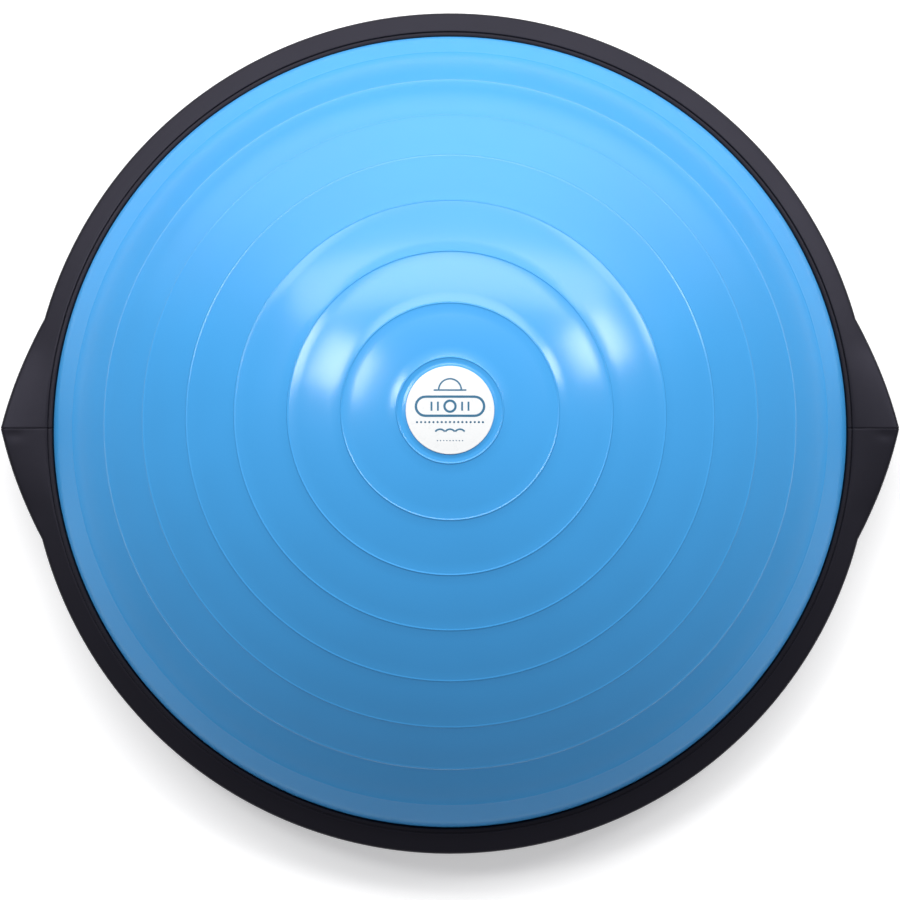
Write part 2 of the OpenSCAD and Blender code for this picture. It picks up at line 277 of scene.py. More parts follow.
@dataclass(frozen=True)
class SoftPvc(Finish):
    """Glossy inflated PVC: a satin skin with a clear coat, faint clouding and a very fine skin texture.

    Attributes:
        coat: How strong the clear gloss over it is.
        coat_roughness: How soft that gloss is.
        under_shine: How strong the reflections of the skin under it are.
        reflection_cut_below: The height below which the coat is cut back. This is painted shade that damps the
            floor's reflection on the lower dome.
        cloud_size: How far apart its slow changes of colour are.
        skin_size: How far apart the ripples of its skin are.
        skin_depth: How deep they are.
    """

    coat: float = 0.95
    coat_roughness: float = 0.18
    under_shine: float = 0.2
    reflection_cut_below: float = 96 * MM
    cloud_size: float = 90 * MM
    skin_size: float = 1.6 * MM
    skin_depth: float = 0.012 * MM

    def surface(self, graph: ShaderGraph) -> dict[str, Value]:
        """Returns what goes into the shader's sockets."""
        cloud = graph.noise(self.cloud_size, detail=2.0)
        scuff = graph.between(graph.noise(11 * MM, detail=5.0), 0.58, 0.8)
        colour = graph.mix(cloud, tint(self.colour, 0.95), tint(self.colour, 1.05))
        skin = graph.bump(graph.noise(self.skin_size, detail=2.0), self.skin_depth)
        _, _, height = graph.parts(graph.place())
        # Painted shade: below reflection_cut_below the coat falls to 0.12 of its weight, which darkens the
        # floor's reflection on the lower dome.
        reflection_kept = graph.between(height, self.reflection_cut_below - 14 * MM, self.reflection_cut_below, 0.12, 1.0)
        return {
            "Base Color": colour,
            "Roughness": self.roughness + 0.05 * cloud + 0.06 * scuff,
            "Coat Weight": (self.coat - 0.12 * scuff) * reflection_kept,
            "Coat Roughness": self.coat_roughness,
            "Specular IOR Level": self.under_shine,
            "Normal": skin,
        }


@dataclass(frozen=True)
class MouldedPlastic(Finish):
    """Moulded plastic with a pebbled grain, faint flow marks and paler scuffs.

    Attributes:
        grain_size: How far apart the grain's pebbles are.
        grain_depth: How deep the grain is.
        scuffed: How much paler a scuff is.
        shine: How strong its reflections are; 0.5 is usual for plastic.
        shine_tint: Their colour.
    """

    grain_size: float = 0.7 * MM
    grain_depth: float = 0.03 * MM
    scuffed: float = 1.5
    shine: float = 0.5
    shine_tint: Colour = (1.0, 1.0, 1.0, 1.0)

    def surface(self, graph: ShaderGraph) -> dict[str, Value]:
        """Returns what goes into the shader's sockets."""
        flow = graph.noise(60 * MM, detail=2.0)
        scuff = graph.between(graph.noise(5 * MM, detail=6.0, roughness=0.7), 0.6, 0.85)
        base = graph.mix(flow, tint(self.colour, 0.9), tint(self.colour, 1.1))
        colour = graph.mix(0.35 * scuff, base, tint(self.colour, self.scuffed))
        swell = graph.bump(graph.noise(3 * MM, detail=2.0), 0.6 * self.grain_depth)
        grain = graph.bump(graph.cells(self.grain_size), self.grain_depth, swell)
        return {
            "Base Color": colour,
            "Roughness": self.roughness + 0.08 * flow - 0.05 * scuff,
            "Specular IOR Level": self.shine,
            "Specular Tint": self.shine_tint,
            "Normal": grain,
        }


@dataclass(frozen=True)
class Rubber(Finish):
    """Matt rubber with a fine speckle and a little dust.

    Attributes:
        dust: The colour of the dust on it.
        dusty: How much of the dust shows.
    """

    dust: Colour = (0.25, 0.24, 0.22, 1.0)
    dusty: float = 0.12

    def surface(self, graph: ShaderGraph) -> dict[str, Value]:
        """Returns what goes into the shader's sockets."""
        dust = graph.between(graph.noise(4 * MM, detail=6.0, roughness=0.65), 0.45, 0.8)
        speckle = graph.bump(graph.noise(0.5 * MM, detail=2.0), 0.03 * MM)
        return {
            "Base Color": graph.mix(self.dusty * dust, self.colour, self.dust),
            "Roughness": self.roughness + 0.08 * dust,
            "Normal": speckle,
        }


@dataclass(frozen=True)
class PlatedSteel(Finish):
    """Zinc-plated steel with fine machining marks and dull patches."""

    def surface(self, graph: ShaderGraph) -> dict[str, Value]:
        """Returns what goes into the shader's sockets."""
        patch = graph.noise(2.5 * MM, detail=4.0)
        marks = graph.bump(graph.noise(0.25 * MM, detail=1.0), 0.008 * MM)
        return {
            "Base Color": graph.mix(patch, tint(self.colour, 0.85), tint(self.colour, 1.1)),
            "Metallic": 1.0,
            "Roughness": self.roughness + 0.15 * patch,
            "Normal": marks,
        }


@dataclass(frozen=True)
class Lacquer(Finish):
    """Smooth glossy lacquer or print, with the faintest orange peel."""

    def surface(self, graph: ShaderGraph) -> dict[str, Value]:
        """Returns what goes into the shader's sockets."""
        haze = graph.noise(6 * MM, detail=3.0)
        peel = graph.bump(graph.noise(1.2 * MM, detail=1.0), 0.006 * MM)
        return {
            "Base Color": graph.mix(haze, tint(self.colour, 0.97), self.colour),
            "Roughness": self.roughness + 0.06 * haze,
            "Coat Weight": 0.35,
            "Coat Roughness": 0.08,
            "Normal": peel,
        }


DOME_PVC = SoftPvc("dome_pvc_blue", Slot.DOME, (0.046, 0.345, 0.76, 1.0), 0.4)
BADGE_WHITE = Lacquer("badge_white", Slot.BADGE, (0.86, 0.87, 0.87, 1.0), 0.25)
BADGE_PRINT = Lacquer("badge_print_blue", Slot.BADGE, (0.035, 0.16, 0.28, 1.0), 0.3)
RIM_BLACK = MouldedPlastic("rim_satin_black", Slot.RIM, (0.0045, 0.0042, 0.006, 1.0), 0.42,
                           grain_depth=0.015 * MM, shine=0.34, shine_tint=(0.8, 0.77, 1.0, 1.0))
PLATFORM_BLACK = MouldedPlastic("platform_black", Slot.PLATFORM, (0.018, 0.018, 0.021, 1.0), 0.5,
                                grain_size=1.1 * MM, grain_depth=0.05 * MM)
DECK_GREY = MouldedPlastic("deck_grey", Slot.DECK, (0.09, 0.095, 0.1, 1.0), 0.5)
CLAMP_NYLON = MouldedPlastic("clamp_nylon", Slot.CLAMP, (0.6, 0.6, 0.56, 1.0), 0.45, scuffed=1.1)
VALVE_GREY = MouldedPlastic("valve_grey", Slot.VALVE, (0.5, 0.51, 0.53, 1.0), 0.3,
                            grain_depth=0.005 * MM, scuffed=1.1)
SEAL_RUBBER = Rubber("seal_rubber", Slot.SEAL, (0.02, 0.02, 0.02, 1.0), 0.6)
GRIP_RUBBER = Rubber("grip_rubber", Slot.GRIP, (0.045, 0.045, 0.05, 1.0), 0.65)
FOOT_RUBBER = Rubber("foot_rubber", Slot.FOOT, (0.018, 0.018, 0.02, 1.0), 0.7)
PLUG_RUBBER = Rubber("plug_rubber", Slot.PLUG, (0.74, 0.74, 0.71, 1.0), 0.45, dusty=0.05)
SCREW_STEEL = PlatedSteel("screw_steel", Slot.SCREW, (0.6, 0.6, 0.62, 1.0), 0.28)


# ---------- outlines and meshes


def arc(centre: Point, radius: float, start: float, end: float, steps: int) -> Outline:
    """Returns points along an arc.

    Args:
        centre: The arc's centre, as radius and height.
        radius: The arc's radius.
        start: The angle that it starts at, in degrees above the horizontal.
        end: The angle that it ends at.
        steps: How many steps it takes.
    """
    angles = [math.radians(start + (end - start) * i / steps) for i in range(steps + 1)]
    return [(centre[0] + radius * math.cos(a), centre[1] + radius * math.sin(a)) for a in angles]


def edge_mesh(name: str, lines: Iterable[Outline], closed: bool) -> bpy.types.Mesh:
    """Returns a mesh of edges that follow the given lines in its XY plane."""
    points: list[Place] = []
    edges: list[tuple[int, int]] = []
    for line in lines:
        first = len(points)
        points += [(x, y, 0.0) for x, y in line]
        edges += [(first + i, first + i + 1) for i in range(len(line) - 1)]
        if closed:
            edges.append((len(points) - 1, first))
    mesh = bpy.data.meshes.new(name)
    mesh.from_pydata(points, edges, [])
    return mesh


def swept_mesh(name: str, sections: np.ndarray) -> bpy.types.Mesh:
    """Returns a closed mesh through a row of closed sections.

    Args:
        name: The mesh's name.
        sections: Points with the shape (sections, points of a section, 3).
    """
    rows, across = sections.shape[:2]
    index = np.arange(rows * across).reshape(rows, across)
    beside = np.roll(index, -1, axis=1)
    quads = np.stack([index[:-1], beside[:-1], beside[1:], index[1:]], axis=-1).reshape(-1, 4)
    caps = [list(map(int, index[0])), list(map(int, index[-1][::-1]))]
    mesh = bpy.data.meshes.new(name)
    mesh.from_pydata(sections.reshape(-1, 3).tolist(), [], quads.tolist() + caps)
    return mesh


def finish_mesh(mesh: bpy.types.Mesh, sharp: float = 32.0, merge: float = 0.001 * MM) -> None:
    """Closes a mesh, points its faces outwards and smooths all but its sharp edges.

    Args:
        mesh: The mesh, which is a closed surface once its doubles are merged.
        sharp: Edges that turn by more than this many degrees stay sharp.
        merge: Points closer than this become one.
    """
    work = bmesh.new()
    work.from_mesh(mesh)
    bmesh.ops.remove_doubles(work, verts=work.verts, dist=merge)
    bmesh.ops.dissolve_degenerate(work, edges=work.edges, dist=merge)
    bmesh.ops.recalc_face_normals(work, faces=work.faces)
    if work.calc_volume(signed=True) < 0:
        bmesh.ops.reverse_faces(work, faces=work.faces)
    work.to_mesh(mesh)
    work.free()
    mesh.shade_smooth()
    mesh.set_sharp_from_angle(angle=math.radians(sharp))


def settle(piece: bpy.types.Object, body: Body, finish: Finish, *nodes: str) -> bpy.types.Object:
    """Puts a finished piece into the frame and reports it.

    Args:
        piece: The piece, whose place is in its mesh.
        body: The body that it rides on.
        finish: Its finish.
        nodes: The CAD nodes that it stands for.
    """
    if piece.name not in bpy.context.scene.collection.objects:
        bpy.context.scene.collection.objects.link(piece)
    if not piece.data.materials:
        piece.data.materials.append(finish.material())
    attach(piece, body.value)
    if nodes:
        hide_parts(*nodes)
    triangles = sum(len(face.vertices) - 2 for face in piece.data.polygons)
    LOG.info("%s: rides on %s, %s, %d triangles", piece.name, body.value, finish.name, triangles)
    return piece


# ---------- Geometry Nodes recipes


class Recipe:
    """A Geometry Nodes tree with named inputs, which turns a mesh into a plain finished mesh."""

    title = "recipe"
    inputs: dict[str, str] = {}

    def __init__(self) -> None:
        """Builds the tree."""
        self.tree = bpy.data.node_groups.new(self.title, "GeometryNodeTree")
        self.graph = Graph(self.tree)
        sockets = {"Geometry": "Geometry", **self.inputs, "Material": "Material"}
        for name, kind in sockets.items():
            self.tree.interface.new_socket(name=name, in_out="INPUT", socket_type=f"NodeSocket{kind}")
        self.tree.interface.new_socket(name="Geometry", in_out="OUTPUT", socket_type="NodeSocketGeometry")
        start = self.tree.nodes.new("NodeGroupInput")
        shape = self.build({name: Wire(self.graph, start.outputs[name]) for name in sockets})
        whole = self.graph.add("GeometryNodeRealizeInstances", values={"Geometry": shape})
        painted = self.graph.add("GeometryNodeSetMaterial", values={
            "Geometry": whole, "Material": Wire(self.graph, start.outputs["Material"])})
        self.tree.links.new(painted.socket, self.tree.nodes.new("NodeGroupOutput").inputs["Geometry"])

    def build(self, given: dict[str, Wire]) -> Wire:
        """Adds the recipe's own nodes and returns its geometry."""
        raise NotImplementedError

    def run(self, name: str, start: bpy.types.Mesh, finish: Finish, **sizes: float) -> bpy.types.Object:
        """Runs the tree on a mesh.

        Args:
            name: The piece's name.
            start: The mesh that the tree starts from.
            finish: The finish of the result.
            sizes: The named inputs, with underscores for spaces.

        Returns:
            An object with the plain mesh, with no modifier left on it.
        """
        piece = bpy.data.objects.new(name, start)
        bpy.context.scene.collection.objects.link(piece)
        modifier = piece.modifiers.new(self.title, "NODES")
        modifier.node_group = self.tree
        values = {key.replace("_", " "): value for key, value in sizes.items()}
        values["Material"] = finish.material()
        for item in self.tree.interface.items_tree:
            if item.in_out == "INPUT" and item.name in values:
                modifier[item.identifier] = values[item.name]
        depsgraph = bpy.context.evaluated_depsgraph_get()
        made = bpy.data.meshes.new_from_object(piece.evaluated_get(depsgraph), depsgraph=depsgraph)
        piece.modifiers.clear()
        piece.data = made
        made.name = name
        return piece


class Revolve(Recipe):
    """Turns a closed section about the Z axis. Its X goes out from Radius, and its Y goes down."""

    title = "revolve_section"
    inputs = {"Radius": "Float", "Segments": "Int"}

    def build(self, given: dict[str, Wire]) -> Wire:
        """Adds the recipe's own nodes and returns its geometry."""
        rail = self.graph.add("GeometryNodeCurvePrimitiveCircle", values={
            "Resolution": given["Segments"], "Radius": given["Radius"]})
        section = self.graph.add("GeometryNodeMeshToCurve", values={"Mesh": given["Geometry"]})
        return self.graph.add("GeometryNodeCurveToMesh", values={"Curve": rail, "Profile Curve": section})


class RingOfCopies(Recipe):
    """Stands copies of a mesh round a circle, each turned about its own axis by a random part of Turn."""

    title = "ring_of_copies"
    inputs = {"Count": "Int", "Radius": "Float", "Start": "Float", "Turn": "Float", "Seed": "Int"}

    def build(self, given: dict[str, Wire]) -> Wire:
        """Adds the recipe's own nodes and returns its geometry."""
        ring = self.graph.add("GeometryNodeMeshCircle", values={
            "Vertices": given["Count"], "Radius": given["Radius"]})
        start = self.graph.add("ShaderNodeCombineXYZ", values={"Z": given["Start"]})
        turned = self.graph.add("GeometryNodeTransform", values={"Geometry": ring, "Rotation": start})
        points = self.graph.add("GeometryNodeMeshToPoints", values={"Mesh": turned})
        twist = self.graph.add("FunctionNodeRandomValue", {"data_type": "FLOAT"}, {
            2: 0.0, 3: given["Turn"], "Seed": given["Seed"]}, output=1)
        x, y, _ = self.graph.parts(self.graph.add("GeometryNodeInputPosition"))
        bearing = self.graph.add("ShaderNodeMath", {"operation": "ARCTAN2"}, {0: y, 1: x})
        turn = self.graph.add("ShaderNodeCombineXYZ", values={"Z": bearing + twist})
        return self.graph.add("GeometryNodeInstanceOnPoints", values={
            "Points": points, "Instance": given["Geometry"], "Rotation": turn})


class PrintOnCrown(Recipe):
    """Lays strokes of a given width along lines and presses them onto a sphere about the Z axis."""

    title = "print_on_crown"
    inputs = {"Width": "Float", "Thickness": "Float", "Sphere": "Float", "Centre": "Float"}

    def build(self, given: dict[str, Wire]) -> Wire:
        """Adds the recipe's own nodes and returns its geometry."""
        rough = self.graph.add("GeometryNodeMeshToCurve", values={"Mesh": given["Geometry"]})
        line = self.graph.add("GeometryNodeSubdivideCurve", values={"Curve": rough, "Cuts": 9})
        across = self.graph.add("GeometryNodeCurvePrimitiveQuadrilateral", {"mode": "RECTANGLE"}, {
            "Width": given["Width"], "Height": given["Thickness"]})
        stroke = self.graph.add("GeometryNodeCurveToMesh", values={
            "Curve": line, "Profile Curve": across, "Fill Caps": True})
        x, y, z = self.graph.parts(self.graph.add("GeometryNodeInputPosition"))
        height = given["Centre"] + (given["Sphere"] ** 2.0 - x * x - y * y).root()
        lifted = self.graph.add("ShaderNodeCombineXYZ", values={"X": x, "Y": y, "Z": height + z})
        return self.graph.add("GeometryNodeSetPosition", values={"Geometry": stroke, "Position": lifted})


class Recipes:
    """The recipes, each built once."""

    def __init__(self) -> None:
        """Builds them."""
        self.revolve = Revolve()
        self.ring = RingOfCopies()
        self.crown_print = PrintOnCrown()

    def lathe(self, name: str, outline: Outline, finish: Finish, segments: int,
              centre: Point = (0.0, 0.0), sharp: float = 32.0) -> bpy.types.Object:
        """Turns an outline about an upright axis.

        Args:
            name: The piece's name.
            outline: The closed outline, as distances from the axis and heights.
            finish: The piece's finish.
            segments: How many steps go round.
            centre: Where the axis stands.
            sharp: Edges that turn by more than this many degrees stay sharp.
        """
        reach = 0.5
        section = edge_mesh(name, [[(r - reach, -z) for r, z in outline]], closed=True)
        piece = self.revolve.run(name, section, finish, Radius=reach, Segments=segments)
        piece.data.transform(Matrix.Translation((*centre, 0.0)))
        finish_mesh(piece.data, sharp)
        return piece

    def ring_of(self, one: bpy.types.Object, finish: Finish, **sizes: float) -> bpy.types.Object:
        """Replaces a piece by a ring of copies of it, under the same name."""
        name, mesh = one.name, one.data
        bpy.data.objects.remove(one)
        return self.ring.run(name, mesh, finish, **sizes)


# ---------- the dome


@dataclass
class Dome:
    """The inflated skin with its ring lines, shoulder and clamped foot, and the badge on its crown."""

    recipes: Recipes
    top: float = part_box("dome_shell")[1].z
    bead_reach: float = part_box("dome_shell")[1].x
    foot_under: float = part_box("dome_shell")[0].z
    badge_radius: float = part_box("dome_badge")[1].x
    badge_top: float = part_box("dome_badge")[1].z
    crown_radius: float = 375 * MM
    wall: float = 3 * MM
    bead: float = 3.2 * MM
    ring_radii: tuple[float, ...] = tuple(
        r * MM for r in (37.5, 77, 115.5, 154.5, 191, 225, 256.5, 285))
    ring_proud: tuple[float, ...] = tuple(
        h * MM for h in (0.6, 0.5, 0.46, 0.36, 0.3, 0.27, 0.24, 0.22))
    ring_width: float = 2.0 * MM
    shoulder_run: float = 7 * MM
    moat_depth: float = 0.35 * MM
    segments: int = 288

    def __post_init__(self) -> None:
        """Works out the sizes that follow from the others."""
        self.centre_z = self.top - self.crown_radius
        self.bead_centre = self.bead_reach - self.bead
        self.radius = self.bead_centre - 5 * MM
        self.shoulder_start = self.radius - self.shoulder_run
        self.shoulder_angle = math.degrees(math.acos(self.shoulder_start / self.crown_radius))
        turn = 1 - math.cos(math.radians(self.shoulder_angle))
        self.shoulder_radius = self.shoulder_run / turn
        lift = (self.crown_radius - self.shoulder_radius) * math.sin(math.radians(self.shoulder_angle))
        self.shoulder_centre = (self.radius - self.shoulder_radius, self.centre_z + lift)
        self.moat_inner = self.badge_radius + 0.4 * MM
        self.moat_outer = self.ring_radii[0] - self.ring_width / 2

    def crown_height(self, r: float) -> float:
        """Returns how far a point at a distance from the axis stands out of the crown's sphere."""
        lift = 0.0
        for ring, proud in zip(self.ring_radii, self.ring_proud):
            share = (r - ring) / (self.ring_width / 2)
            if abs(share) < 1:
                lift = proud * 0.5 * (1 + math.cos(math.pi * share))
        if self.moat_inner < r < self.moat_outer:
            share = (r - self.moat_inner) / (self.moat_outer - self.moat_inner)
            lift -= self.moat_depth * math.sin(math.pi * share) ** 2
        return lift

    def crown_points(self) -> Outline:
        """Returns the crown's outer line, from its top to the start of the shoulder."""
        stops = list(np.linspace(0, self.moat_inner, 8))
        stops += list(np.linspace(self.moat_inner, self.moat_outer, 8)[1:])
        for i, ring in enumerate(self.ring_radii):
            low, high = ring - self.ring_width / 2, ring + self.ring_width / 2
            if i:
                stops += list(np.linspace(stops[-1], low, 6)[1:])
            stops += list(np.linspace(low, min(high, self.shoulder_start + 0.4 * MM), 11)[1:])
        points = []
        for r in stops:
            reach = self.crown_radius + self.crown_height(r)
            upright = math.sqrt(self.crown_radius ** 2 - r ** 2) / self.crown_radius
            points.append((reach * r / self.crown_radius, self.centre_z + reach * upright))
        return points

    def outline(self) -> Outline:
        """Returns the skin's whole closed section, down to the bead and back up inside."""
        flange_top = self.foot_under + self.wall
        outside = arc(self.shoulder_centre, self.shoulder_radius, self.shoulder_angle - 1.5, 2.0, 18)
        inside = arc(self.shoulder_centre, self.shoulder_radius - self.wall, 2.0, self.shoulder_angle, 12)
        crown = arc((0.0, self.centre_z), self.crown_radius - self.wall, self.shoulder_angle + 1, 90, 40)
        neck = 180 + math.degrees(math.asin((self.bead - self.wall) / self.bead))
        bead = arc((self.bead_centre, self.foot_under + self.bead), self.bead, neck, -90, 12)
        root = arc((self.radius + 1.2 * MM, flange_top + 1.2 * MM), 1.2 * MM, 180, 270, 4)
        return [*self.crown_points(), *outside, *root, *bead,
                (self.radius - self.wall, self.foot_under), *inside, *crown]

    def press(self, piece: bpy.types.Object) -> None:
        """Gives a piece its own copy of its mesh. It works out how far the dome's press would flatten it, but
        nothing makes the piece flatten.
        """
        travel = next(j["range_m"][1] for j in frame["joints"] if j["name"] == "dome_press")
        keep = 1 - travel / (self.top - self.foot_under - self.wall)
        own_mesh(piece)

    def make_skin(self) -> None:
        """Makes the inflated skin."""
        skin = self.recipes.lathe("dome_skin", self.outline(), DOME_PVC, self.segments, sharp=50)
        settle(skin, Body.DOME, DOME_PVC, "dome_shell")
        self.press(skin)

    def make_badge(self) -> None:
        """Makes the white badge, a thin disc with a rounded edge that follows the crown."""
        under = self.crown_radius + 0.05 * MM
        face = self.badge_top - self.centre_z
        edge = 0.42 * MM
        reach = self.badge_radius - edge
        lean = math.degrees(math.acos(reach / face))
        middle = (face - edge) * math.sin(math.radians(lean))
        top = arc((0.0, self.centre_z), face, 90, lean, 12)
        rounded = arc((reach, self.centre_z + middle), edge, lean, -60, 8)
        low = math.degrees(math.acos((reach - 0.1 * MM) / under))
        back = arc((0.0, self.centre_z), under, low, 90, 10)
        badge = self.recipes.lathe("badge_disc", [*top, *rounded, *back], BADGE_WHITE, 160, sharp=60)
        settle(badge, Body.DOME, BADGE_WHITE, "dome_badge")
        self.press(badge)

    def build(self) -> None:
        """Makes the dome's pieces."""
        self.make_skin()
        self.make_badge()
        BadgeMark(self.recipes, self).build()


@dataclass
class BadgeMark:
    """A plain mark on the badge: a dome on a bar, a level with its bubble, dots and three waves."""

    recipes: Recipes
    dome: Dome
    thickness: float = 0.12 * MM

    def circle(self, centre: Point, radius: float, steps: int = 32) -> Outline:
        """Returns a closed circle."""
        return arc(centre, radius, 0, 360 * (1 - 1 / steps), steps - 1)

    def capsule(self, centre: Point, width: float, height: float) -> Outline:
        """Returns a closed bar outline with round ends."""
        r = height / 2
        side = width / 2 - r
        right = arc((centre[0] + side, centre[1]), r, -90, 90, 12)
        left = arc((centre[0] - side, centre[1]), r, 90, 270, 12)
        return [*right, *left]

    def stroke(self, name: str, lines: list[Outline], closed: bool, width: float) -> None:
        """Lays one set of strokes on the badge."""
        start = edge_mesh(name, lines, closed)
        piece = self.recipes.crown_print.run(
            name, start, BADGE_PRINT, Width=width, Thickness=self.thickness,
            Sphere=self.dome.badge_top - self.dome.centre_z, Centre=self.dome.centre_z)
        finish_mesh(piece.data, 30)
        settle(piece, Body.DOME, BADGE_PRINT)
        self.dome.press(piece)

    def build(self) -> None:
        """Makes the mark's strokes."""
        middle = (0.0, 2.6 * MM)
        ticks = [[(x * MM, -0.6 * MM), (x * MM, 5.8 * MM)] for x in (-13, -8.5, 8.5, 13)]
        dots = [self.circle((x * 2.9 * MM, -8.6 * MM), 0.4 * MM, 12) for x in range(-8, 9)]
        waves = [arc((x * 7.0 * MM, -17.6 * MM), 4.0 * MM, 35, 145, 12) for x in (-1, 0, 1)]
        specks = [self.circle((x * 2.2 * MM, -21.6 * MM), 0.22 * MM, 10) for x in range(-4, 5)]
        strokes: list[tuple[str, list[Outline], bool, float]] = [
            ("hill", [arc((0.0, 14.0 * MM), 8.0 * MM, 0, 180, 24)], False, 1.1),
            ("bar", [[(-11.5 * MM, 14.0 * MM), (11.5 * MM, 14.0 * MM)]], False, 1.1),
            ("level", [self.capsule(middle, 48 * MM, 13.5 * MM)], True, 1.7),
            ("bubble", [self.circle(middle, 3.9 * MM)], True, 1.6),
            ("ticks", ticks, False, 1.3),
            ("dots", dots, True, 0.7),
            ("waves", waves, False, 1.2),
            ("specks", specks, True, 0.4),
        ]
        for name, lines, closed, width in strokes:
            self.stroke(f"mark_{name}", lines, closed, width * MM)


# ---------- the rim


@dataclass
class Rim:
    """The bumper rim: two halves that meet at the points of the grip tabs."""

    radius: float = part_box("rim_rear")[1].y
    tip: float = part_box("rim_rear")[1].x
    lip_z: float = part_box("rim_rear")[1].z
    foot_z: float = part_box("rim_rear")[0].z
    wall: float = 3 * MM
    lip_inset: float = 19.8 * MM
    lip_width: float = 3.2 * MM
    lip_round: float = 1.0 * MM
    leg_z: float = 41 * MM
    groove_width: float = 1.0 * MM
    groove_depth: float = 1.2 * MM
    groove_round: float = 0.25 * MM
    corner: float = 3.2 * MM
    band_fall: float = 0.215
    ridge_fall: float = 0.6 * MM
    facet_fall: float = 0.06
    skirt_z: float = 26 * MM
    seam_round: float = 0.7 * MM
    tab_angle: float = math.radians(15.2)
    dip_depth: float = 0.5 * MM
    dip_width: float = 6 * MM
    band_steps: int = 10

    def __post_init__(self) -> None:
        """Works out the sizes that follow from the others."""
        self.lip_r = self.radius - self.lip_inset
        self.groove_in = self.lip_r + self.lip_width
        self.band_r = self.groove_in + self.groove_width

    def reach(self, angle: float, inset: float = 0.0) -> float:
        """Returns how far the rim reaches at an angle from a tab's point, less an inset."""
        share = max(0.0, 1 - abs(angle) / self.tab_angle)
        return self.radius + (self.tip - self.radius) * share - inset

    def dip(self, r: float, angle: float, half: Half) -> float:
        """Returns how far the front half's top is pressed in beside the joint line on each tab."""
        if half is Half.REAR or angle > self.tab_angle:
            return 0.0
        along = (r * math.cos(angle) - self.tip + 11 * MM) / self.dip_width
        across = (r * math.sin(angle) - 5 * MM) / (0.7 * self.dip_width)
        return self.dip_depth * math.exp(-along * along - across * across)

    def edge_fall(self, angle: float) -> float:
        """Returns how far the top has fallen at the outer edge, at an angle from a tab's point."""
        out = self.reach(angle)
        band = self.band_fall * (out - self.band_r)
        if abs(angle) >= self.tab_angle:
            return band
        facet = self.ridge_fall + self.facet_fall * out * math.sin(abs(angle))
        blend = 0.8 * MM
        gap = max(0.0, 1 - abs(facet - band) / blend)
        return min(facet, band) - blend * gap * gap / 4

    def section(self, angle: float, seam: float) -> Outline:
        """Returns the rim's closed section at an angle from the nearest tab's point.

        Args:
            angle: The angle, in radians.
            seam: The distance to the joint line, near which the edges are rounded off.
        """
        near = max(0.0, 1 - seam / self.seam_round)
        ease = self.seam_round * (1 - math.sqrt(1 - near * near))
        out = self.reach(angle) - ease
        fall = self.edge_fall(angle)
        top = self.lip_z - ease
        corner = min(self.corner, (out - self.band_r) / 3)
        slope = math.degrees(math.atan(fall / (out - self.band_r)))
        turn = (90 - slope) / 2
        edge_z = top - fall
        tangent = corner * math.tan(math.radians(turn))
        run = math.cos(math.radians(slope))
        last = (out - tangent * run, edge_z + tangent * math.sin(math.radians(slope)))
        middle = (out - corner, edge_z - tangent)
        lip = self.lip_round
        soft = self.groove_round
        band_start = self.band_r + soft
        outline = [(self.lip_r + ease, self.leg_z)]
        outline += arc((self.lip_r + lip + ease, top - lip), lip, 180, 90, 5)
        outline += arc((self.groove_in - soft, top - soft), soft, 90, 0, 3)
        outline += [(self.groove_in, top - self.groove_depth), (self.band_r, top - self.groove_depth)]
        outline += arc((self.band_r + soft, top - soft), soft, 180, 90, 3)
        for i in range(1, self.band_steps):
            share = i / self.band_steps
            outline.append((band_start + (last[0] - band_start) * share, top + (last[1] - top) * share))
        outline += arc(middle, corner, 90 - slope, 0, 8)
        outline += self.underside(angle, out)
        return outline

    def underside(self, angle: float, out: float) -> Outline:
        """Returns the section below the top: skirt, finger recess, wall and the hollow inside."""
        skirt = min(0.6 * MM, max(0.0, (out - self.radius) / 2))
        inner = self.reach(angle, 1.03 * self.wall)
        recess = inner > self.radius + 0.05 * MM
        pocket_r = inner if recess else self.radius
        roof = self.leg_z if recess else self.skirt_z
        foot = 1.5 * MM
        points = [(out, self.skirt_z + skirt), (out - skirt, self.skirt_z)]
        points += [(pocket_r, self.skirt_z), (pocket_r, roof), (self.radius, roof), (self.radius, self.skirt_z)]
        points += arc((self.radius - foot, self.foot_z + foot), foot, 0, -90, 5)
        hollow_z = self.lip_z - self.band_fall * (self.radius - self.wall - self.band_r) - 3.4 * MM
        points += [(self.radius - self.wall, self.foot_z), (self.radius - self.wall, hollow_z),
                   (self.band_r, self.lip_z - 3.4 * MM), (self.groove_in, self.lip_z - 3.4 * MM),
                   (self.groove_in, self.leg_z)]
        return points

    def stations(self) -> list[float]:
        """Returns the angles of the sections, from one tab's point to the other's."""
        near = [0.0, 0.04, 0.1, 0.2, 0.34, 0.52, 0.72]
        fine = [math.asin(y * MM / self.radius) for y in near]
        pocket = self.tab_angle * (1 - (1.03 * self.wall + 0.05 * MM) / (self.tip - self.radius))
        corners = [pocket - 1e-5, pocket + 0.002, self.tab_angle - 1e-4, self.tab_angle + 0.003]
        spread = [*np.linspace(0.35, 5, 20), *np.linspace(5.5, 90, 142)]
        quarter = sorted({*fine, *(math.radians(a) for a in spread), *corners})
        return quarter + [math.pi - a for a in reversed(quarter[:-1])]

    def make_half(self, half: Half) -> None:
        """Makes one half of the rim."""
        rows = []
        band = self.band_r + self.groove_round
        for angle in self.stations():
            from_tab = min(angle, math.pi - angle)
            x, y = math.cos(angle), math.sin(angle) * half.value
            row = []
            for r, z in self.section(from_tab, self.radius * math.sin(from_tab)):
                on_top = z > self.leg_z and r > band
                row.append((r * x, r * y, z - self.dip(r, from_tab, half) if on_top else z))
            rows.append(row)
        name = f"rim_cover_{half.name.lower()}"
        mesh = swept_mesh(name, np.array(rows))
        finish_mesh(mesh, 28)
        settle(bpy.data.objects.new(name, mesh), Body.PLATFORM, RIM_BLACK, f"rim_{half.name.lower()}")

    def build(self) -> None:
        """Makes both halves."""
        for half in Half:
            self.make_half(half)


# ---------- feet, screws and valve


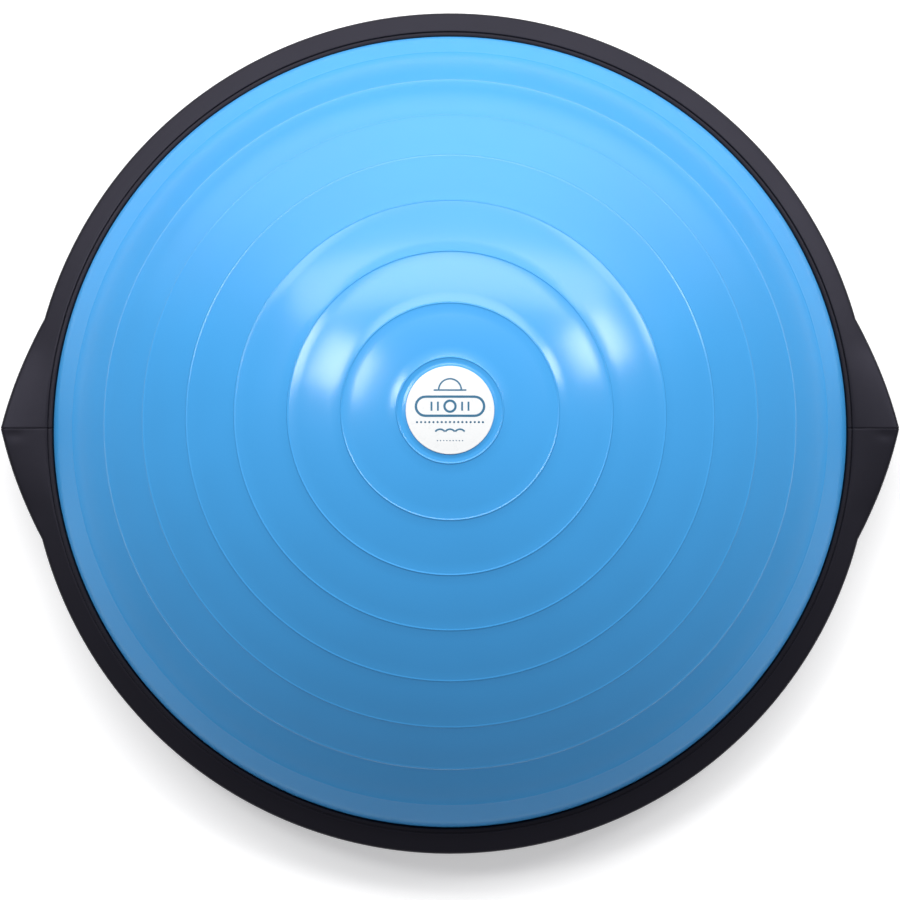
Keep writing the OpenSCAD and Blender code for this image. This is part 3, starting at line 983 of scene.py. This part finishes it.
def cut(piece: bpy.types.Object, blocks: list[tuple[Vector, Vector]]) -> None:
    """Cuts boxes out of a piece.

    Args:
        piece: The piece.
        blocks: The boxes' middles and sizes.
    """
    shape = bmesh.new()
    for middle, size in blocks:
        place = Matrix.Translation(middle) @ Matrix.Diagonal((*size, 1.0))
        bmesh.ops.create_cube(shape, size=1.0, matrix=place)
    mesh = bpy.data.meshes.new("cutter")
    shape.to_mesh(mesh)
    shape.free()
    cutter = bpy.data.objects.new("cutter", mesh)
    bpy.context.scene.collection.objects.link(cutter)
    modifier = piece.modifiers.new("cut", "BOOLEAN")
    modifier.operation = "DIFFERENCE"
    modifier.solver = "EXACT"
    modifier.use_self = True
    modifier.object = cutter
    depsgraph = bpy.context.evaluated_depsgraph_get()
    made = bpy.data.meshes.new_from_object(piece.evaluated_get(depsgraph), depsgraph=depsgraph)
    piece.modifiers.clear()
    piece.data = made
    bpy.data.objects.remove(cutter)


@dataclass(frozen=True)
class ScrewSet:
    """A ring of cross-head screws that point up.

    Attributes:
        name: The piece's name.
        node: The CAD node that it stands for.
        count: How many screws there are.
        ring: The radius of the ring that they stand on.
        start: The first one's angle, in degrees.
        seat_z: The height of the underside of their heads.
        head: The head's radius and height.
        shank: The shank's radius and length.
        seed: The seed of the angles that they were turned to.
    """

    name: str
    node: str
    count: int
    ring: float
    start: float
    seat_z: float
    head: Point
    shank: Point
    seed: int

    def build(self, recipes: Recipes) -> None:
        """Makes the screws."""
        radius, height = self.head
        thin, length = self.shank
        crown = [(radius * math.cos(a), self.seat_z - height * (0.35 + 0.65 * math.sin(a)))
                 for a in np.linspace(math.pi / 2, 0, 9)]
        outline = [*crown, (radius, self.seat_z), (thin, self.seat_z), (thin, self.seat_z + length - thin),
                   (0.4 * thin, self.seat_z + length), (0.0, self.seat_z + length)]
        screw = recipes.lathe(self.name, outline, SCREW_STEEL, 40)
        long, narrow, deep = 1.15 * radius, 0.26 * radius, 1.1 * height
        middle = Vector((0.0, 0.0, self.seat_z - height))
        cut(screw, [(middle, Vector((long, narrow, deep))), (middle, Vector((narrow, long, deep)))])
        finish_mesh(screw.data, 30)
        ring = recipes.ring_of(screw, SCREW_STEEL, Count=self.count, Radius=self.ring,
                               Start=math.radians(self.start), Turn=math.pi / 2, Seed=self.seed)
        settle(ring, Body.PLATFORM, SCREW_STEEL, self.node)


@dataclass
class Fittings:
    """The rubber feet, the screws seen from below, and the air valve with its plug."""

    recipes: Recipes
    foot_count: int = 8
    foot_ring: float = 238 * MM
    foot_radius: float = 18 * MM
    foot_top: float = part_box("foot_1")[1].z
    valve_y: float = -180 * MM
    screws: tuple[ScrewSet, ...] = (
        ScrewSet("foot_screw_ring", "foot_screws", 8, 238 * MM, 0.0, 3.5 * MM,
                 (4.2 * MM, 2.2 * MM), (1.9 * MM, 12.5 * MM), 3),
        ScrewSet("rim_screw_ring", "rim_screws", 12, 318.4 * MM, 15.0, 22.5 * MM,
                 (2.7 * MM, 2.0 * MM), (1.7 * MM, 16 * MM), 7),
    )

    def make_feet(self) -> None:
        """Makes the feet, with three shallow rings pressed into each sole."""
        hole, recess, roof = 2.0 * MM, 5.2 * MM, 3.5 * MM
        sole = [(hole, roof), (recess, roof), (recess, 0.5 * MM), (recess + 0.5 * MM, 0.0)]
        for r in (8.4, 11.2, 14.0):
            steps = ((-0.6, 0.0), (-0.3, 0.5), (0.3, 0.5), (0.6, 0.0))
            sole += [((r + out) * MM, deep * MM) for out, deep in steps]
        edge = arc((self.foot_radius - 1.5 * MM, 1.5 * MM), 1.5 * MM, -90, 0, 6)
        top = [(self.foot_radius, self.foot_top - 0.3 * MM), (self.foot_radius - 0.3 * MM, self.foot_top),
               (hole, self.foot_top)]
        foot = self.recipes.lathe("foot_ring", [*sole, *edge, *top], FOOT_RUBBER, 72)
        ring = self.recipes.ring_of(foot, FOOT_RUBBER, Count=self.foot_count, Radius=self.foot_ring,
                                    Start=0.0, Turn=0.0, Seed=0)
        settle(ring, Body.PLATFORM, FOOT_RUBBER, *(f"foot_{i + 1}" for i in range(self.foot_count)))

    def make_valve(self) -> None:
        """Makes the valve's body and the plug that closes it."""
        low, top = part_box("valve_body")[0].z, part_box("valve_body")[1].z
        flange, tube, bore, thick = 14 * MM, 8 * MM, 4.5 * MM, 2.5 * MM
        soft = 0.5 * MM
        outline = [(bore, low + soft), (bore + soft, low)]
        outline += arc((flange - soft, low + soft), soft, -90, 0, 5)
        outline += [(flange, low + thick), (tube, low + thick), (tube, top - soft), (tube - soft, top),
                    (bore, top)]
        body = self.recipes.lathe("valve_seat", outline, VALVE_GREY, 96, centre=(0.0, self.valve_y))
        settle(body, Body.PLATFORM, VALVE_GREY, "valve_body")
        under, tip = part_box("valve_plug")[0].z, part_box("valve_plug")[1].z
        face, nail, stem, neck = 11 * MM, 8.5 * MM, 4.4 * MM, 3.8 * MM
        seat = tip - 14.2 * MM
        shape = [(0.0, under + 0.6 * MM), (6.4 * MM, under + 0.6 * MM), (7.2 * MM, under)]
        shape += arc((face - 0.8 * MM, under + 0.8 * MM), 0.8 * MM, -90, 0, 6)
        shape += [(face, seat - 1.2 * MM), (face - 0.2 * MM, seat - 1.0 * MM), (nail, seat - 1.0 * MM),
                  (nail, seat), (neck, seat)]
        for i in range(3):
            rib = seat + (1.8 + 4 * i) * MM
            steps = ((neck, -0.9), (stem, -0.4), (stem, 0.4), (neck, 0.9))
            shape += [(reach, rib + rise * MM) for reach, rise in steps]
        shape += [(neck, tip - 2 * MM), (neck - 1 * MM, tip), (0.0, tip)]
        plug = self.recipes.lathe("air_plug", shape, PLUG_RUBBER, 96, centre=(0.0, self.valve_y))
        settle(plug, Body.PLUG, PLUG_RUBBER, "valve_plug")

    def build(self) -> None:
        """Makes the fittings."""
        self.make_feet()
        for screws in self.screws:
            screws.build(self.recipes)
        self.make_valve()


# ---------- what stays as modelled


@dataclass
class CarriedOver:
    """The CAD nodes that are shown as they are, each in its own finish."""

    finishes: dict[str, Finish] = field(default_factory=lambda: {
        "clamp_ring": CLAMP_NYLON, "bead_seal": SEAL_RUBBER, "deck_plate": DECK_GREY,
        "platform_shell": PLATFORM_BLACK, "grip_pad_left": GRIP_RUBBER, "grip_pad_right": GRIP_RUBBER,
        "clamp_screws": SCREW_STEEL, "valve_washer": SEAL_RUBBER, "valve_nut": VALVE_GREY})

    def build(self) -> None:
        """Gives each node its finish."""
        for name, finish in self.finishes.items():
            node = frame["nodes"][name]
            node.data.materials.clear()
            node.data.materials.append(finish.material())
            LOG.info("%s: kept as modelled, %s", name, finish.name)


# ---------- studio


@dataclass
class SoftLight:
    """A rectangular soft light that faces a point.

    Attributes:
        name: Its name.
        place: Where it stands.
        width: Its width.
        height: Its height.
        power: Its power in watts.
        aim: What it faces.
    """

    name: str
    place: Place
    width: float
    height: float
    power: float
    aim: Place = (0.0, 0.0, 0.1)

    def build(self) -> None:
        """Makes the light."""
        lamp = bpy.data.lights.new(self.name, "AREA")
        lamp.shape = "RECTANGLE"
        lamp.size = self.width
        lamp.size_y = self.height
        lamp.energy = self.power
        light = bpy.data.objects.new(self.name, lamp)
        light.location = self.place
        light.rotation_euler = (Vector(self.aim) - Vector(self.place)).to_track_quat("-Z", "Y").to_euler()
        bpy.context.scene.collection.objects.link(light)


@dataclass
class Studio:
    """The pale floor, the soft lights, the surroundings and the camera."""

    floor_radius: float = 3.0
    floor_drop: float = 0.3 * MM
    floor_white: Colour = (0.93, 0.93, 0.93, 1.0)
    floor_grey: Colour = (0.12, 0.12, 0.122, 1.0)
    painted_floor_glow: float = 0.33
    pool_inner: float = 0.51
    pool_outer: float = 0.64
    sky_near: Colour = (0.155, 0.155, 0.162, 1.0)
    sky_far: Colour = (1.0, 1.0, 1.0, 1.0)
    sky_turn: Point = (0.3, 0.95)
    sky_strength: float = 1.95
    camera_distance: float = 2.0
    camera_tilt: float = 4.3
    lens: float = 101.6
    aim: Place = (0.0, -13.5 * MM, 0.0)
    lights: tuple[SoftLight, ...] = (
        SoftLight("broad_light", (0.0, 1.82, 2.33), 4.2, 0.75, 45.0),
        SoftLight("right_light", (1.15, 0.685, 1.58), 0.38, 0.48, 7.6),
        SoftLight("left_light", (-0.82, 0.49, 1.72), 0.4, 0.46, 7.6),
    )

    def make_floor(self) -> None:
        """Makes the floor: a painted pool of light, white and glowing under the trainer, and greyer further
        out.
        """
        mesh = bpy.data.meshes.new("floor")
        edge = arc((0.0, 0.0), self.floor_radius, 0, 357, 119)
        mesh.from_pydata([(x, y, -self.floor_drop) for x, y in edge], [], [list(range(len(edge)))])
        material = bpy.data.materials.new("floor_pale")
        graph = fresh_graph(material)
        reach = graph.add("ShaderNodeVectorMath", {"operation": "LENGTH"}, {0: graph.place()}, output=1)
        share = graph.between(reach, self.pool_inner, self.pool_outer)
        shader = graph.add("ShaderNodeBsdfPrincipled", values={
            "Base Color": graph.mix(share, self.floor_white, self.floor_grey), "Roughness": 0.9,
            # Painted light: inside the pool the floor glows by itself, which lifts it to white and lightens the
            # shadow under the trainer.
            "Emission Color": graph.mix(share, (1.0, 1.0, 1.0, 1.0), (0.0, 0.0, 0.0, 1.0)),
            "Emission Strength": self.painted_floor_glow})
        graph.add("ShaderNodeOutputMaterial", values={"Surface": shader})
        mesh.materials.append(material)
        floor = bpy.data.objects.new("floor", mesh)
        bpy.context.scene.collection.objects.link(floor)

    def make_surroundings(self) -> None:
        """Makes an even pale light from all round, a little darker on the near side."""
        world = bpy.data.worlds.new("surroundings")
        bpy.context.scene.world = world
        graph = fresh_graph(world)
        _, along, _ = graph.parts(graph.add("ShaderNodeTexCoord", output="Generated"))
        shade = graph.mix(graph.between(along, *self.sky_turn), self.sky_near, self.sky_far)
        sky = graph.add("ShaderNodeBackground", values={"Color": shade, "Strength": self.sky_strength})
        graph.add("ShaderNodeOutputWorld", values={"Surface": sky})

    def make_camera(self) -> None:
        """Makes the camera, nearly straight above the crown."""
        tilt = math.radians(self.camera_tilt)
        data = bpy.data.cameras.new("camera")
        data.lens = self.lens
        data.sensor_width = 36.0
        camera = bpy.data.objects.new("camera", data)
        place = Vector((0.0, -self.camera_distance * math.sin(tilt), self.camera_distance * math.cos(tilt)))
        camera.location = place
        camera.rotation_euler = (Vector(self.aim) - place).to_track_quat("-Z", "Y").to_euler()
        bpy.context.scene.collection.objects.link(camera)
        bpy.context.scene.camera = camera

    def build(self) -> None:
        """Sets up the studio."""
        bpy.context.scene.view_settings.view_transform = "Standard"
        self.make_camera()
        self.make_floor()
        self.make_surroundings()
        for light in self.lights:
            light.build()


def main() -> None:
    """Builds the studio and every piece of the trainer."""
    logging.basicConfig(level=logging.INFO, format="%(message)s")
    Studio().build()
    recipes = Recipes()
    Dome(recipes).build()
    Rim().build()
    Fittings(recipes).build()
    CarriedOver().build()


if __name__ == "__main__":
    main()
